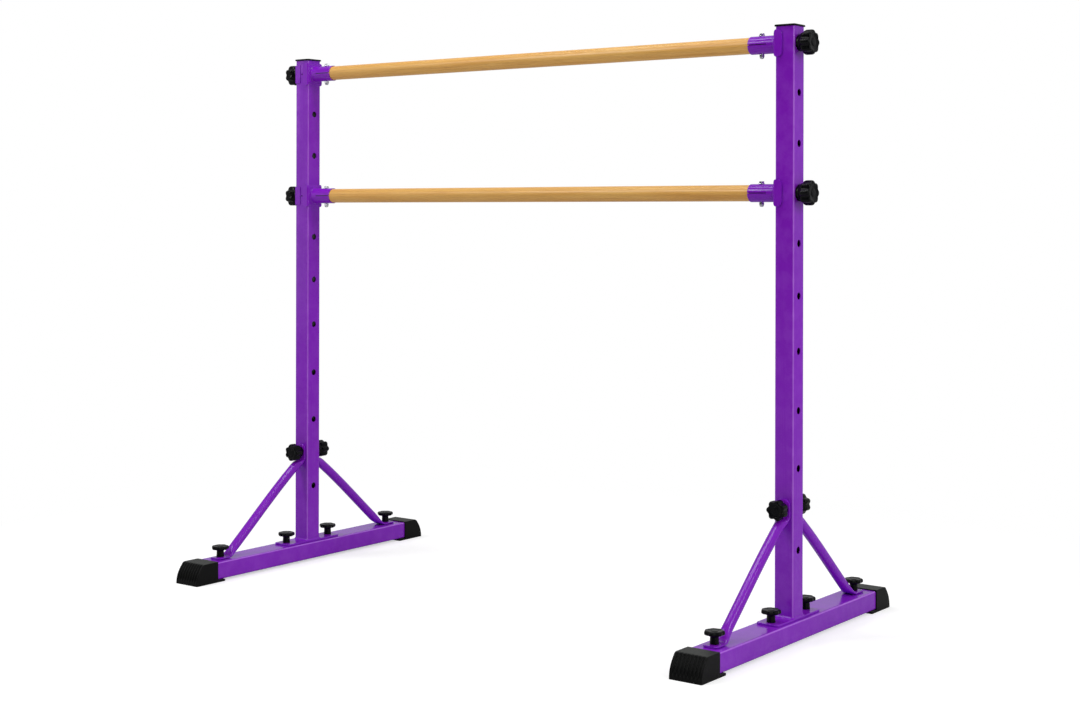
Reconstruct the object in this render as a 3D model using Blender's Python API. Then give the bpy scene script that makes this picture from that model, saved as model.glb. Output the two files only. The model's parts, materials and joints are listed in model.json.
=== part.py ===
"""Free-standing double barre: two wooden rails between two steel stands.

X runs along the rails, Y along the feet, Z is up, and the floor is Z = 0.
Each stand is built in its own frame: a is the distance from the post's
centre towards the middle of the barre, y is along the foot and z is up.
"""

import math

import bpy
import bmesh

MM = 0.001
GAP = 0.3

# stands
STAND_X = 645.0  # post centre from the middle
POST_WIDTH = 41.3
POST_WALL = 2.0
POST_CORNER = 4.0
POST_TOP = 1181.0
POST_HOLE_R = 7.0
PINHOLE_R = 1.9
POST_HOLES = (1149.0, 1054.0, 956.0, 861.0, 764.0, 663.0, 557.0, 443.0, 332.0, 175.0)

# feet
FOOT_WIDTH = 63.5
FOOT_HEIGHT = 38.1
FOOT_WALL = 2.0
FOOT_CORNER = 4.0
FOOT_HALF = 313.0
FOOT_BOTTOM = 5.0
FOOT_TOP = FOOT_BOTTOM + FOOT_HEIGHT
CAP_HALF_WIDTH = 34.2
CAP_TOP = 45.4
CAP_REACH = 62.0
CAP_TONGUE = 22.0
CAP_GROOVES = 8

# base plate under each post
PLATE_WIDTH = 48.0
PLATE_LENGTH = 170.0
PLATE_THICK = 4.0
PLATE_BOTTOM = FOOT_TOP + GAP
PLATE_TOP = PLATE_BOTTOM + PLATE_THICK
WELD_LEG = 2.9
WELD_HEIGHT = 4.0
POST_BOTTOM = PLATE_TOP + GAP
BASE_KNOB_Y = 69.0

# braces
BRACE_R = 10.3
BRACE_WALL = 1.6
FLAT_HALF = 2.1
FLAT_WIDTH = 15.5
BRACE_TOP_Z = 256.0
BRACE_FOOT_Y = 276.0
STUD_R = 4.0
STUD_HOLE_R = 4.5

# rails and brackets
RAIL_R = 16.0
RAIL_HALF = 609.6
UPPER_Z = POST_HOLES[0]
LOWER_Z = POST_HOLES[3]
SLEEVE_IN = 16.35
SLEEVE_OUT = 17.7
SLEEVE_END = 84.0
SLIT_START = 42.0
SLIT_HALF = 0.9
CLAMP_A = 61.0
CLAMP_R = 3.0
SADDLE_THICK = 3.0
SADDLE_HALF = 26.5
WEB_HALF = 20.5
FLANGE_EDGE = 5.5
LOCK_R = 6.0
LOCK_TIP = 30.0
KEEPER_THICK = 1.2
KEEPER_HALF = 21.0

HALF = POST_WIDTH / 2
FACE = HALF + GAP
FLAT_OUT = FACE + FLAT_HALF  # centre of a brace's flat on the post


# ---------------------------------------------------------------- helpers


def loft(rings, closed=False):
    """Rings skinned in turn, capped at both ends unless closed. Their lengths may differ."""
    verts = [p for ring in rings for p in ring]
    starts = [sum(len(ring) for ring in rings[:i]) for i in range(len(rings))]
    faces = []
    for i in range(len(rings) if closed else len(rings) - 1):
        o = (i + 1) % len(rings)
        a, n, b, m = starts[i], len(rings[i]), starts[o], len(rings[o])
        if n == m:
            faces += [
                (a + j, a + (j + 1) % n, b + (j + 1) % n, b + j) for j in range(n)
            ]
            continue
        j = k = 0
        while j < n or k < m:
            if k == m or (j < n and (j + 0.5) * m <= (k + 0.5) * n):
                faces.append((a + j, a + (j + 1) % n, b + k % m))
                j += 1
            else:
                faces.append((a + j % n, b + (k + 1) % m, b + k))
                k += 1
    if not closed:
        faces.append(tuple(range(len(rings[0])))[::-1])
        faces.append(tuple(starts[-1] + j for j in range(len(rings[-1]))))
    return verts, faces


def moved(shape, place):
    return [place(*p) for p in shape[0]], shape[1]


def spun(shape, turn):
    c, s = math.cos(turn), math.sin(turn)
    return moved(shape, lambda x, y, z: (x * c - y * s, x * s + y * c, z))


def joined(shapes):
    """Several closed shapes in one mesh, for a cutter."""
    verts, faces = [], []
    for v, f in shapes:
        faces += [tuple(i + len(verts) for i in face) for face in f]
        verts += v
    return verts, faces


def rounded(w, h, r, steps=3):
    """A rounded rectangle about the origin, w by h across."""
    out = []
    for cx, cy, start in (
        (w / 2 - r, h / 2 - r, 0.0),
        (-w / 2 + r, h / 2 - r, 0.5),
        (-w / 2 + r, -h / 2 + r, 1.0),
        (w / 2 - r, -h / 2 + r, 1.5),
    ):
        for i in range(steps + 1):
            t = math.pi * (start + 0.5 * i / steps)
            out.append((cx + r * math.cos(t), cy + r * math.sin(t)))
    return out


def circle(r, n, turn=0.0):
    return [
        (
            r * math.cos(2 * math.pi * (i + turn) / n),
            r * math.sin(2 * math.pi * (i + turn) / n),
        )
        for i in range(n)
    ]


def lobed(r, depth, lobes, n):
    out = []
    for i in range(n):
        t = 2 * math.pi * i / n
        q = r - depth * (0.5 - 0.5 * math.cos(lobes * t))
        out.append((q * math.cos(t), q * math.sin(t)))
    return out


def hexagon(af, n=12):
    """A hexagon of n points, n a multiple of 6, with this distance across its flats."""
    out = []
    for i in range(n):
        t = 2 * math.pi * i / n
        off = (t + math.pi / 6) % (math.pi / 3) - math.pi / 6
        q = af / 2 / math.cos(math.pi / 6 - abs(off))
        out.append((q * math.cos(t), q * math.sin(t)))
    return out


def along_z(profiles):
    """Rings stacked on Z from (outline, z) pairs."""
    return [[(x, y, z) for x, y in outline] for outline, z in profiles]


def box(x0, x1, y0, y1, z0, z1):
    return loft(
        [[(x0, y0, z), (x1, y0, z), (x1, y1, z), (x0, y1, z)] for z in (z0, z1)]
    )


def rod(r, z0, z1, n=16, turn=0.0):
    return loft(along_z([(circle(r, n, turn), z0), (circle(r, n, turn), z1)]))


def on_x(shape, y=0.0, z=0.0):
    """Turns a shape built on Z so that it lies on the first axis."""
    return moved(shape, lambda p, q, s: (s, p + y, q + z))


def on_y(shape, x=0.0, z=0.0):
    return moved(shape, lambda p, q, s: (q + x, s, p + z))


def material(name, color, roughness, metallic):
    made = bpy.data.materials.new(name)
    made.use_nodes = True
    shader = made.node_tree.nodes["Principled BSDF"]
    shader.inputs["Base Color"].default_value = (*color, 1.0)
    shader.inputs["Roughness"].default_value = roughness
    shader.inputs["Metallic"].default_value = metallic
    made.diffuse_color = (*color, 1.0)
    return made


FINISH = {
    "coat": ((0.224, 0.055, 0.452), 0.24, 0.0),
    "wood": ((0.61, 0.37, 0.14), 0.42, 0.0),
    "plastic": ((0.012, 0.012, 0.014), 0.38, 0.0),
    "rubber": ((0.014, 0.015, 0.014), 0.62, 0.0),
    "zinc": ((0.62, 0.62, 0.66), 0.28, 1.0),
}


def build(name, shape, finish, origin=(0.0, 0.0, 0.0), smooth=34.0):
    """One object from a shape in world millimetres, with its origin at the given point."""
    verts, faces = shape
    mesh = bpy.data.meshes.new(name)
    mesh.from_pydata(
        [
            (
                (x - origin[0]) * MM,
                (y - origin[1]) * MM,
                (z - origin[2]) * MM,
            )
            for x, y, z in verts
        ],
        [],
        faces,
    )
    work = bmesh.new()
    work.from_mesh(mesh)
    bmesh.ops.recalc_face_normals(work, faces=work.faces)
    work.to_mesh(mesh)
    work.free()
    mesh.shade_smooth()
    mesh.set_sharp_from_angle(angle=math.radians(smooth))
    obj = bpy.data.objects.new(name, mesh)
    obj.location = tuple(c * MM for c in origin)
    bpy.context.scene.collection.objects.link(obj)
    if finish:
        mesh.materials.append(material("mat_" + name, *FINISH[finish]))
    return obj


def helper(name, shape):
    """A cutter or an operand: never a piece of the barre."""
    obj = build(name, shape, None)
    obj.hide_render = True
    obj.display_type = "WIRE"
    return obj


def combine(obj, operation, other):
    step = obj.modifiers.new(operation.lower() + "_" + other.name, "BOOLEAN")
    step.operation = operation
    step.solver = "EXACT"
    step.object = other


def stand_frame(side):
    """Maps a stand's own frame to the world; side is -1 on the left and 1 on the right."""
    return lambda a, y, z: (side * (STAND_X - a), y, z)


# ---------------------------------------------------------------- shapes in a stand's frame


def post_shape():
    out = rounded(POST_WIDTH, POST_WIDTH, POST_CORNER)
    ins = rounded(
        POST_WIDTH - 2 * POST_WALL, POST_WIDTH - 2 * POST_WALL, POST_CORNER - POST_WALL
    )
    return loft(
        along_z(
            [(out, POST_BOTTOM), (out, POST_TOP), (ins, POST_TOP), (ins, POST_BOTTOM)]
        ),
        closed=True,
    )


def post_cutters():
    holes = [on_x(rod(POST_HOLE_R, -30, 30, 12), z=h) for h in POST_HOLES]
    return joined(holes + [on_y(rod(STUD_HOLE_R, -30, 30, 12), z=BRACE_TOP_Z)])


def front_pinholes():
    """Small holes in the left post's front wall, one at each bracket."""
    return joined(
        [on_y(rod(PINHOLE_R, -30, -HALF + POST_WALL + 2, 10), z=h) for h in (UPPER_Z, LOWER_Z)]
    )


def post_cap_shape():
    side = POST_WIDTH + 4.8
    z = POST_TOP + GAP
    plug = rounded(36.4, 36.4, 1.8, 1)
    core = rounded(31.2, 31.2, 1.4, 1)
    return loft(
        along_z(
            [
                (core, z + 0.4),
                (core, z - 13.0),
                (plug, z - 13.0),
                (plug, z),
                (rounded(side - 0.6, side - 0.6, 4.6), z),
                (rounded(side, side, 5.0), z + 0.8),
                (rounded(side, side, 5.0), z + 2.4),
                (rounded(side - 3.2, side - 3.2, 4.0), z + 3.6),
            ]
        )
    )


def foot_shape():
    out = rounded(FOOT_WIDTH, FOOT_HEIGHT, FOOT_CORNER)
    ins = rounded(
        FOOT_WIDTH - 2 * FOOT_WALL, FOOT_HEIGHT - 2 * FOOT_WALL, FOOT_CORNER - FOOT_WALL
    )
    mid = FOOT_BOTTOM + FOOT_HEIGHT / 2
    rings = [
        [(x, end, z + mid) for x, z in outline]
        for outline, end in (
            (out, -FOOT_HALF),
            (out, FOOT_HALF),
            (ins, FOOT_HALF),
            (ins, -FOOT_HALF),
        )
    ]
    return loft(rings, closed=True)


def foot_cutters():
    return joined(
        [
            moved(
                rod(STUD_HOLE_R, FOOT_TOP - 8, FOOT_TOP + 8, 12),
                lambda a, y, z, at=at: (a, y + at, z),
            )
            for at in (-BRACE_FOOT_Y, -BASE_KNOB_Y, BASE_KNOB_Y, BRACE_FOOT_Y)
        ]
    )


def cap_shape():
    """The rubber end cap, with b measured outward from the tube's end."""
    plain = [
        (0.0, CAP_TOP),
        (37.0, CAP_TOP),
        (41.0, 44.8),
        (44.5, 42.2),
        (48.5, 37.4),
        (54.5, 28.8),
        (59.0, 19.5),
        (61.4, 10.0),
        (CAP_REACH, 4.0),
        (CAP_REACH, 0.0),
        (-CAP_TONGUE, 0.0),
        (-CAP_TONGUE, 4.6),
        (0.0, 4.6),
    ]
    grooved = list(plain)
    grooved[2] = (40.4, 43.6)
    grooved[3] = (43.0, 40.6)
    grooved[4] = (46.8, 35.9)
    grooved[5] = (52.6, 27.6)
    grooved[6] = (57.0, 18.8)
    grooved[7] = (60.2, 9.8)
    pitch = 2 * CAP_HALF_WIDTH / (CAP_GROOVES + 0.75)
    stations = [(-CAP_HALF_WIDTH, plain)]
    for i in range(CAP_GROOVES):
        mid = (i - (CAP_GROOVES - 1) / 2) * pitch
        stations += [
            (mid - 0.30 * pitch, plain),
            (mid - 0.14 * pitch, grooved),
            (mid + 0.14 * pitch, grooved),
            (mid + 0.30 * pitch, plain),
        ]
    stations.append((CAP_HALF_WIDTH, plain))
    return loft([[(x, b, z) for b, z in outline] for x, outline in stations])


def cap_plug():
    w = FOOT_WIDTH - 2 * FOOT_WALL - 1.0
    h = FOOT_HEIGHT - 2 * FOOT_WALL - 1.0
    mid = FOOT_BOTTOM + FOOT_HEIGHT / 2
    outline = rounded(w, h, 2.0, 1)
    return loft([[(x, b, z + mid) for x, z in outline] for b in (-26.0, 1.0)])


def plate_shape():
    outline = rounded(PLATE_WIDTH, PLATE_LENGTH, 6.0)
    lip = rounded(PLATE_WIDTH - 1.2, PLATE_LENGTH - 1.2, 5.4)
    return loft(
        along_z(
            [(outline, PLATE_BOTTOM), (outline, PLATE_TOP - 0.6), (lip, PLATE_TOP)]
        )
    )


def weld_shape():
    inner = rounded(2 * FACE, 2 * FACE, POST_CORNER + GAP)

    def ring(out, z):
        return rounded(2 * (FACE + out), 2 * (FACE + out), POST_CORNER + out), z

    return loft(
        along_z(
            [
                (inner, PLATE_TOP - 1.0),
                ring(WELD_LEG, PLATE_TOP - 1.0),
                ring(WELD_LEG, PLATE_TOP + 0.3),
                ring(0.45 * WELD_LEG, PLATE_TOP + 0.5 * WELD_HEIGHT),
                ring(0.12 * WELD_LEG, PLATE_TOP + WELD_HEIGHT),
                (inner, PLATE_TOP + WELD_HEIGHT),
            ]
        ),
        closed=True,
    )


# centre of each section down a front brace as (distance out from the post, height), half width and half thickness
BRACE_PATH = (
    (FLAT_OUT, 274.2, 5.5, 1.7),
    (FLAT_OUT, 271.0, 11.0, 2.1),
    (FLAT_OUT, 265.0, 14.8, 2.1),
    (FLAT_OUT, 242.8, FLAT_WIDTH, 2.1),
    (FLAT_OUT + 1.65, 236.2, 14.4, 3.3),
    (FLAT_OUT + 6.75, 230.4, 12.4, 6.6),
    (FLAT_OUT + 14.15, 226.2, 10.8, 9.5),
    (FLAT_OUT + 23.05, 219.9, BRACE_R, BRACE_R),
    (226.0, 70.3, BRACE_R, BRACE_R),
    (235.0, 62.7, 10.8, 9.3),
    (244.0, 55.2, 12.6, 6.3),
    (252.5, 48.9, 14.6, 3.4),
    (260.0, 45.5, FLAT_WIDTH, 2.1),
    (290.0, 45.5, FLAT_WIDTH, 2.1),
    (294.5, 45.5, 11.0, 1.9),
)


def brace_shape(way):
    """A tube flattened at both ends; way is -1 at the front and 1 at the rear."""
    n = 14
    outer, inner = [], []
    last = len(BRACE_PATH) - 1
    for i, (out, z, wide, thick) in enumerate(BRACE_PATH):
        before, after = BRACE_PATH[max(i - 1, 0)], BRACE_PATH[min(i + 1, last)]
        dy, dz = after[0] - before[0], after[1] - before[1]
        size = math.hypot(dy, dz)
        ny, nz = -dz / size, dy / size
        flat = max(0.0, min(1.0, (wide - BRACE_R) / (FLAT_WIDTH - BRACE_R)))
        power = 1.0 - 0.45 * flat
        if thick <= FLAT_HALF:
            power = 0.5
        for rings, cut in ((outer, 0.0), (inner, BRACE_WALL)):
            ring = []
            for k in range(n):
                t = 2 * math.pi * (k + 0.5) / n
                c, s = math.cos(t), math.sin(t)
                p = (max(wide - cut, 1.0)) * math.copysign(abs(c) ** power, c)
                q = (max(thick - cut, 0.45)) * math.copysign(abs(s) ** power, s)
                ring.append((p, way * (out + q * ny), z + q * nz))
            rings.append(ring)
    return loft(outer + inner[::-1], closed=True)


def brace_cutters(way):
    upper = on_y(rod(STUD_HOLE_R, 15.0, 30.0, 12), z=BRACE_TOP_Z)
    upper = moved(upper, lambda a, y, z: (a, way * y, z))
    lower = moved(
        rod(STUD_HOLE_R, 40.0, 52.0, 12), lambda a, y, z: (a, y + way * BRACE_FOOT_Y, z)
    )
    return joined([upper, lower])


def small_knob():
    """A seven-lobed clamping knob on its stud, base at z = 0 and stud below."""
    n = 28
    return loft(
        along_z(
            [
                (circle(STUD_R, 14), -15.0),
                (circle(STUD_R, 14), 0.0),
                (circle(8.6, 14), 0.0),
                (circle(7.8, 14), 14.2),
                (lobed(18.0, 1.7, 7, n), 16.2),
                (lobed(19.4, 2.0, 7, n), 18.6),
                (lobed(19.4, 2.0, 7, n), 21.8),
                (lobed(16.6, 1.3, 7, n), 24.2),
            ]
        )
    )


def star_knob():
    """The deeper seven-lobed knob that holds a brace to the post."""
    n = 28
    return loft(
        along_z(
            [
                (circle(STUD_R, 14), -18.6),
                (circle(STUD_R, 14), 0.0),
                (circle(12.6, 14), 0.0),
                (circle(13.4, 14), 7.0),
                (lobed(18.8, 3.0, 7, n), 10.5),
                (lobed(20.2, 3.6, 7, n), 14.5),
                (lobed(20.2, 3.6, 7, n), 26.5),
                (lobed(17.8, 2.8, 7, n), 30.0),
            ]
        )
    )


def lock_knob(stud):
    """The large knob that locks a rail's height, with a stud of this length."""
    n = 32
    return loft(
        along_z(
            [
                (circle(LOCK_R - 0.8, 16), -stud),
                (circle(LOCK_R, 16), -stud + 1.2),
                (circle(LOCK_R, 16), 0.0),
                (circle(16.5, 16), 0.0),
                (circle(17.5, 16), 7.0),
                (lobed(22.8, 3.2, 8, n), 11.0),
                (lobed(24.2, 3.8, 8, n), 15.5),
                (lobed(24.2, 3.8, 8, n), 28.0),
                (lobed(21.8, 3.0, 8, n), 31.8),
                (circle(12.0, 16), 31.8),
                (circle(11.2, 16), 30.2),
            ]
        )
    )


def saddle_shape():
    """The U-shaped plate round the post's inner side, about z = 0."""
    lo, hi, r = FACE, FACE + SADDLE_THICK, 4.0

    def arc(cx, cy, start, radius, steps):
        return [
            (
                cx + radius * math.cos(start + 0.5 * math.pi * i / steps),
                cy + radius * math.sin(start + 0.5 * math.pi * i / steps),
            )
            for i in range(steps + 1)
        ]

    outline = [(FLANGE_EDGE, -hi)]
    outline += arc(hi - r, -hi + r, -math.pi / 2, r, 3)
    outline += arc(hi - r, hi - r, 0.0, r, 3)
    outline += [(FLANGE_EDGE, hi), (FLANGE_EDGE, lo)]
    outline += [(lo - 1.5, lo), (lo, lo - 1.5), (lo, -lo + 1.5), (lo - 1.5, -lo)]
    outline += [(FLANGE_EDGE, -lo)]
    return loft(along_z([(outline, -SADDLE_HALF), (outline, SADDLE_HALF)]))


def saddle_trim():
    """What the saddle keeps: rounded flange ends, and a lower web on the inner face."""
    r, steps = 10.4, 3
    mid = FLANGE_EDGE + r
    rise = SADDLE_HALF - WEB_HALF
    upper = []
    for i in range(steps + 1):
        t = math.pi / 2 * i / steps
        upper.append((mid + 6.6 * math.cos(t), WEB_HALF + rise * math.sin(t)))
    for i in range(1, steps + 1):
        t = math.pi / 2 * (1 + i / steps)
        upper.append((mid + r * math.cos(t), SADDLE_HALF - r + r * math.sin(t)))
    outline = [(40.0, WEB_HALF)] + upper
    outline += [(a, -z) for a, z in reversed(upper)] + [(40.0, -WEB_HALF)]
    return loft([[(a, y, z) for a, z in outline] for y in (-40.0, 40.0)])


def sleeve_shape():
    """The socket that holds a rail's end, welded to the saddle."""
    n = 24
    start = FACE + 1.4
    face = FACE + SADDLE_THICK
    profile = [
        (start, SLEEVE_IN),
        (start, SLEEVE_OUT + 2.6),
        (face + 0.3, SLEEVE_OUT + 2.6),
        (face + 1.4, SLEEVE_OUT + 1.1),
        (face + 4.4, SLEEVE_OUT),
        (SLEEVE_END - 0.5, SLEEVE_OUT),
        (SLEEVE_END, SLEEVE_OUT - 0.5),
        (SLEEVE_END, SLEEVE_IN),
    ]
    return loft([[(a, p, q) for p, q in circle(r, n)] for a, r in profile], closed=True)


def sleeve_nut():
    outline = hexagon(16.0)
    return on_x(loft(along_z([(outline, FACE + 1.5), (outline, LOCK_TIP + 1.0)])))


def bracket_cutters():
    return joined(
        [
            on_x(rod(LOCK_R + 0.4, 10.0, 40.0, 16)),
            box(SLIT_START, SLEEVE_END + 4, -25, -10, -SLIT_HALF, SLIT_HALF),
            box(SLIT_START, SLEEVE_END + 4, 10, 25, -SLIT_HALF, SLIT_HALF),
            moved(
                rod(CLAMP_R + 0.4, -30.0, 30.0, 12), lambda a, y, z: (a + CLAMP_A, y, z)
            ),
        ]
    )


def keeper_shape():
    """The thin plate between a left lock knob and its post, folded onto both sides."""
    lo, hi = FACE, FACE + KEEPER_THICK
    edge = 4.5
    outline = [
        (-edge, -hi),
        (-lo + 2.0, -hi),
        (-hi + 0.6, -hi + 0.6),
        (-hi, -lo + 2.0),
        (-hi, lo - 2.0),
        (-hi + 0.6, hi - 0.6),
        (-lo + 2.0, hi),
        (-edge, hi),
        (-edge, lo),
        (-lo + 1.5, lo),
        (-lo, lo - 1.5),
        (-lo, -lo + 1.5),
        (-lo + 1.5, -lo),
        (-edge, -lo),
    ]
    return loft(along_z([(outline, -KEEPER_HALF), (outline, KEEPER_HALF)]))


def clamp_bolt():
    top = SLEEVE_OUT + GAP
    n = 12
    return loft(
        along_z(
            [
                (circle(CLAMP_R - 0.5, n), -24.0),
                (circle(CLAMP_R, n), -23.0),
                (circle(CLAMP_R, n), top),
                (circle(6.4, n), top),
                (circle(6.0, n), top + 1.2),
                (hexagon(9.6), top + 1.4),
                (hexagon(9.6), top + 4.4),
                (hexagon(8.0), top + 5.2),
            ]
        )
    )


def clamp_nut():
    top = -SLEEVE_OUT - GAP
    n = 12
    return loft(
        along_z(
            [
                (circle(CLAMP_R + 0.35, n), top - 6.6),
                (circle(CLAMP_R + 0.35, n), top),
                (hexagon(9.6), top),
                (hexagon(9.6), top - 4.4),
                (circle(4.5, n), top - 5.0),
                (circle(3.9, n), top - 7.4),
                (circle(1.9, n), top - 8.9),
            ]
        )
    )


def weld_nut():
    """The nut inside the foot under each vertical knob, its top at z = 0."""
    outline = hexagon(13.0)
    bore = circle(STUD_R + 0.35, 12)
    return loft(
        along_z([(outline, -8.0), (outline, 0.0), (bore, 0.0), (bore, -8.0)]),
        closed=True,
    )


def cross_sleeve():
    """The threaded tube across the inside of the post that both brace studs enter."""
    half = HALF - POST_WALL - GAP
    outer, bore = circle(8.0, 16), circle(STUD_R + 0.35, 16)
    return on_y(
        loft(
            along_z([(outer, -half), (outer, half), (bore, half), (bore, -half)]),
            closed=True,
        ),
        z=BRACE_TOP_Z,
    )


def rail_shape(z):
    n = 24
    rings = []
    for x, r in (
        (-RAIL_HALF, RAIL_R - 0.8),
        (-RAIL_HALF + 0.8, RAIL_R),
        (RAIL_HALF - 0.8, RAIL_R),
        (RAIL_HALF, RAIL_R - 0.8),
    ):
        rings.append([(x, p, q + z) for p, q in circle(r, n)])
    return loft(rings)


# ---------------------------------------------------------------- assembly


def build_stand(label, side):
    world = stand_frame(side)

    def put(name, shape, finish, origin=None, place=None):
        shape = moved(shape, place) if place else shape
        at = world(*(origin or (0.0, 0.0, 0.0)))
        return build(f"{label}_{name}", moved(shape, world), finish, at)

    def aid(name, shape):
        return helper(f"cut_{label}_{name}", moved(shape, world))

    post = put("post", post_shape(), "coat")
    combine(post, "DIFFERENCE", aid("post_holes", post_cutters()))
    if side < 0:
        combine(post, "DIFFERENCE", aid("pinholes", front_pinholes()))
    put("post_cap", post_cap_shape(), "plastic")
    put("brace_stud_sleeve", cross_sleeve(), "zinc")

    foot = put("foot_tube", foot_shape(), "coat")
    combine(foot, "DIFFERENCE", aid("foot_holes", foot_cutters()))

    plate = put("base_plate", plate_shape(), "coat")
    combine(plate, "UNION", aid("post_weld", weld_shape()))
    holes = [
        moved(
            rod(STUD_HOLE_R, PLATE_BOTTOM - 5, PLATE_TOP + 5, 12),
            lambda a, y, z, at=at: (a, y + at, z),
        )
        for at in (-BASE_KNOB_Y, BASE_KNOB_Y)
    ]
    combine(plate, "DIFFERENCE", aid("plate_holes", joined(holes)))

    for end, way in (("front", -1.0), ("rear", 1.0)):

        def out(a, b, z, way=way):
            return a, way * (FOOT_HALF + GAP + b), z

        cap = put(f"foot_cap_{end}", cap_shape(), "rubber", place=out)
        combine(cap, "UNION", aid(f"plug_{end}", moved(cap_plug(), out)))

        brace = put(f"brace_{end}", brace_shape(way), "coat")
        combine(brace, "DIFFERENCE", aid(f"brace_{end}", brace_cutters(way)))

        base_y = way * BASE_KNOB_Y
        base_z = PLATE_TOP + GAP
        put(
            f"base_knob_{end}",
            small_knob(),
            "plastic",
            (0.0, base_y, base_z),
            lambda p, q, s, y=base_y, z=base_z: (p, q + y, s + z),
        )
        foot_y = way * BRACE_FOOT_Y
        foot_z = 45.5 + FLAT_HALF + GAP
        put(
            f"brace_foot_knob_{end}",
            small_knob(),
            "plastic",
            (0.0, foot_y, foot_z),
            lambda p, q, s, y=foot_y, z=foot_z: (p, q + y, s + z),
        )
        top_y = way * (FLAT_OUT + FLAT_HALF + GAP)
        put(
            f"brace_post_knob_{end}",
            star_knob(),
            "plastic",
            (0.0, top_y, BRACE_TOP_Z),
            lambda p, q, s, y=top_y, way=way: (p, y + way * s, q + BRACE_TOP_Z),
        )
        for what, at in (("base", base_y), ("brace", foot_y)):
            put(
                f"{what}_weld_nut_{end}",
                weld_nut(),
                "zinc",
                (0.0, at, FOOT_TOP),
                lambda p, q, s, y=at: (p, q + y, s + FOOT_TOP - FOOT_WALL - GAP),
            )

    keeper = KEEPER_THICK if side < 0 else 0.0
    for level, height in (("upper", UPPER_Z), ("lower", LOWER_Z)):

        def lift(a, y, z, height=height):
            return a, y, z + height

        bracket = put(
            f"{level}_bracket", saddle_shape(), "coat", (0.0, 0.0, height), lift
        )
        combine(bracket, "INTERSECT", aid(f"{level}_trim", moved(saddle_trim(), lift)))
        combine(bracket, "UNION", aid(f"{level}_sleeve", moved(sleeve_shape(), lift)))
        combine(bracket, "UNION", aid(f"{level}_nut", moved(sleeve_nut(), lift)))
        combine(
            bracket, "DIFFERENCE", aid(f"{level}_bores", moved(bracket_cutters(), lift))
        )
        for what, shape in (("clamp_bolt", clamp_bolt()), ("clamp_nut", clamp_nut())):
            put(
                f"{level}_{what}",
                shape,
                "zinc",
                (CLAMP_A, 0.0, height),
                lambda p, q, s, z=height: (p + CLAMP_A, q, s + z),
            )
        seat = FACE + (keeper + GAP if keeper else 0.0)
        put(
            f"{level}_lock_knob",
            spun(lock_knob(seat + LOCK_TIP), math.pi / 8 if side < 0 else 0.0),
            "plastic",
            (-seat, 0.0, height),
            lambda p, q, s, seat=seat, z=height: (-seat - s, p, q + z),
        )
        if keeper:
            plate = put(
                f"{level}_keeper_plate",
                keeper_shape(),
                "coat",
                (0.0, 0.0, height),
                lift,
            )
            hole = on_x(rod(LOCK_R + 0.4, -40.0, 0.0, 16), z=height)
            combine(plate, "DIFFERENCE", aid(f"{level}_keeper_hole", hole))


def build_rail(level, height):
    rail = build(f"{level}_rail", rail_shape(height), "wood", (0.0, 0.0, height))
    holes = [
        moved(
            rod(CLAMP_R + 0.4, height - 30, height + 30, 12),
            lambda x, y, z, at=at: (x + at, y, z),
        )
        for at in (-(STAND_X - CLAMP_A), STAND_X - CLAMP_A)
    ]
    combine(rail, "DIFFERENCE", helper(f"cut_{level}_rail_holes", joined(holes)))


for stale in list(bpy.data.objects):
    bpy.data.objects.remove(stale, do_unlink=True)

build_stand("left", -1.0)
build_stand("right", 1.0)
build_rail("upper", UPPER_Z)
build_rail("lower", LOWER_Z)
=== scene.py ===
"""Looks of the free-standing double barre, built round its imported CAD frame.

X runs along the rails, Y along the feet and Z is up. Shapes are in millimetres
and meet the CAD nodes' own boxes; a stand's own frame is (a, y, z), where a is
the distance from the post's centre towards the middle of the barre.
"""

import json
import math

import bmesh
import bpy
import numpy as np
from mathutils import Euler, Matrix, Vector, noise

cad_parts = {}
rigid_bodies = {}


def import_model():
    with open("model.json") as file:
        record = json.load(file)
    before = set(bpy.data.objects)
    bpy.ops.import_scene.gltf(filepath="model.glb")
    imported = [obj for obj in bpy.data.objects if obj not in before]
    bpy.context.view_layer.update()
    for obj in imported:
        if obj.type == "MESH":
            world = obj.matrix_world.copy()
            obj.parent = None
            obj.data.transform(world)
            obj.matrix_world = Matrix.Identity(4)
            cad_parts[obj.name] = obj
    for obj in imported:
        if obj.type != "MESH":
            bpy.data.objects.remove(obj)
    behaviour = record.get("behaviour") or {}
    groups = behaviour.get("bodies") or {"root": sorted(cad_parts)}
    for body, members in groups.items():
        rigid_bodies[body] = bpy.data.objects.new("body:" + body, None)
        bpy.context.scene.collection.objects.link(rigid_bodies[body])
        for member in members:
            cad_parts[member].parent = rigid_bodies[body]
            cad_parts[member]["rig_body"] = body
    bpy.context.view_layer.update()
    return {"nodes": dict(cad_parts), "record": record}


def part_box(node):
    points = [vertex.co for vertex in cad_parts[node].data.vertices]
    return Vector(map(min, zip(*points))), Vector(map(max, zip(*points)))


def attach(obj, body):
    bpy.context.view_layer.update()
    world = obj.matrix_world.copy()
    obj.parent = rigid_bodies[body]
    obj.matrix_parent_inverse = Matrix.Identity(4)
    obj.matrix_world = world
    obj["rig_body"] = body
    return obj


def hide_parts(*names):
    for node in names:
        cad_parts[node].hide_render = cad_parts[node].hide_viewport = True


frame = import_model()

MM = 0.001
GAP = 0.3
NODES = frame["nodes"]
BODY = {n: o["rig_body"] for n, o in NODES.items()}
SLOT = {s["node"]: s["material_slot"] for s in frame["record"]["subparts"]}


def span(node):
    """A CAD node's lowest and highest corner, in millimetres."""
    lo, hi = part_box(node)
    return np.array(lo) * 1000.0, np.array(hi) * 1000.0


# ---------------------------------------------------------------- sizes, from the frame

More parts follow.
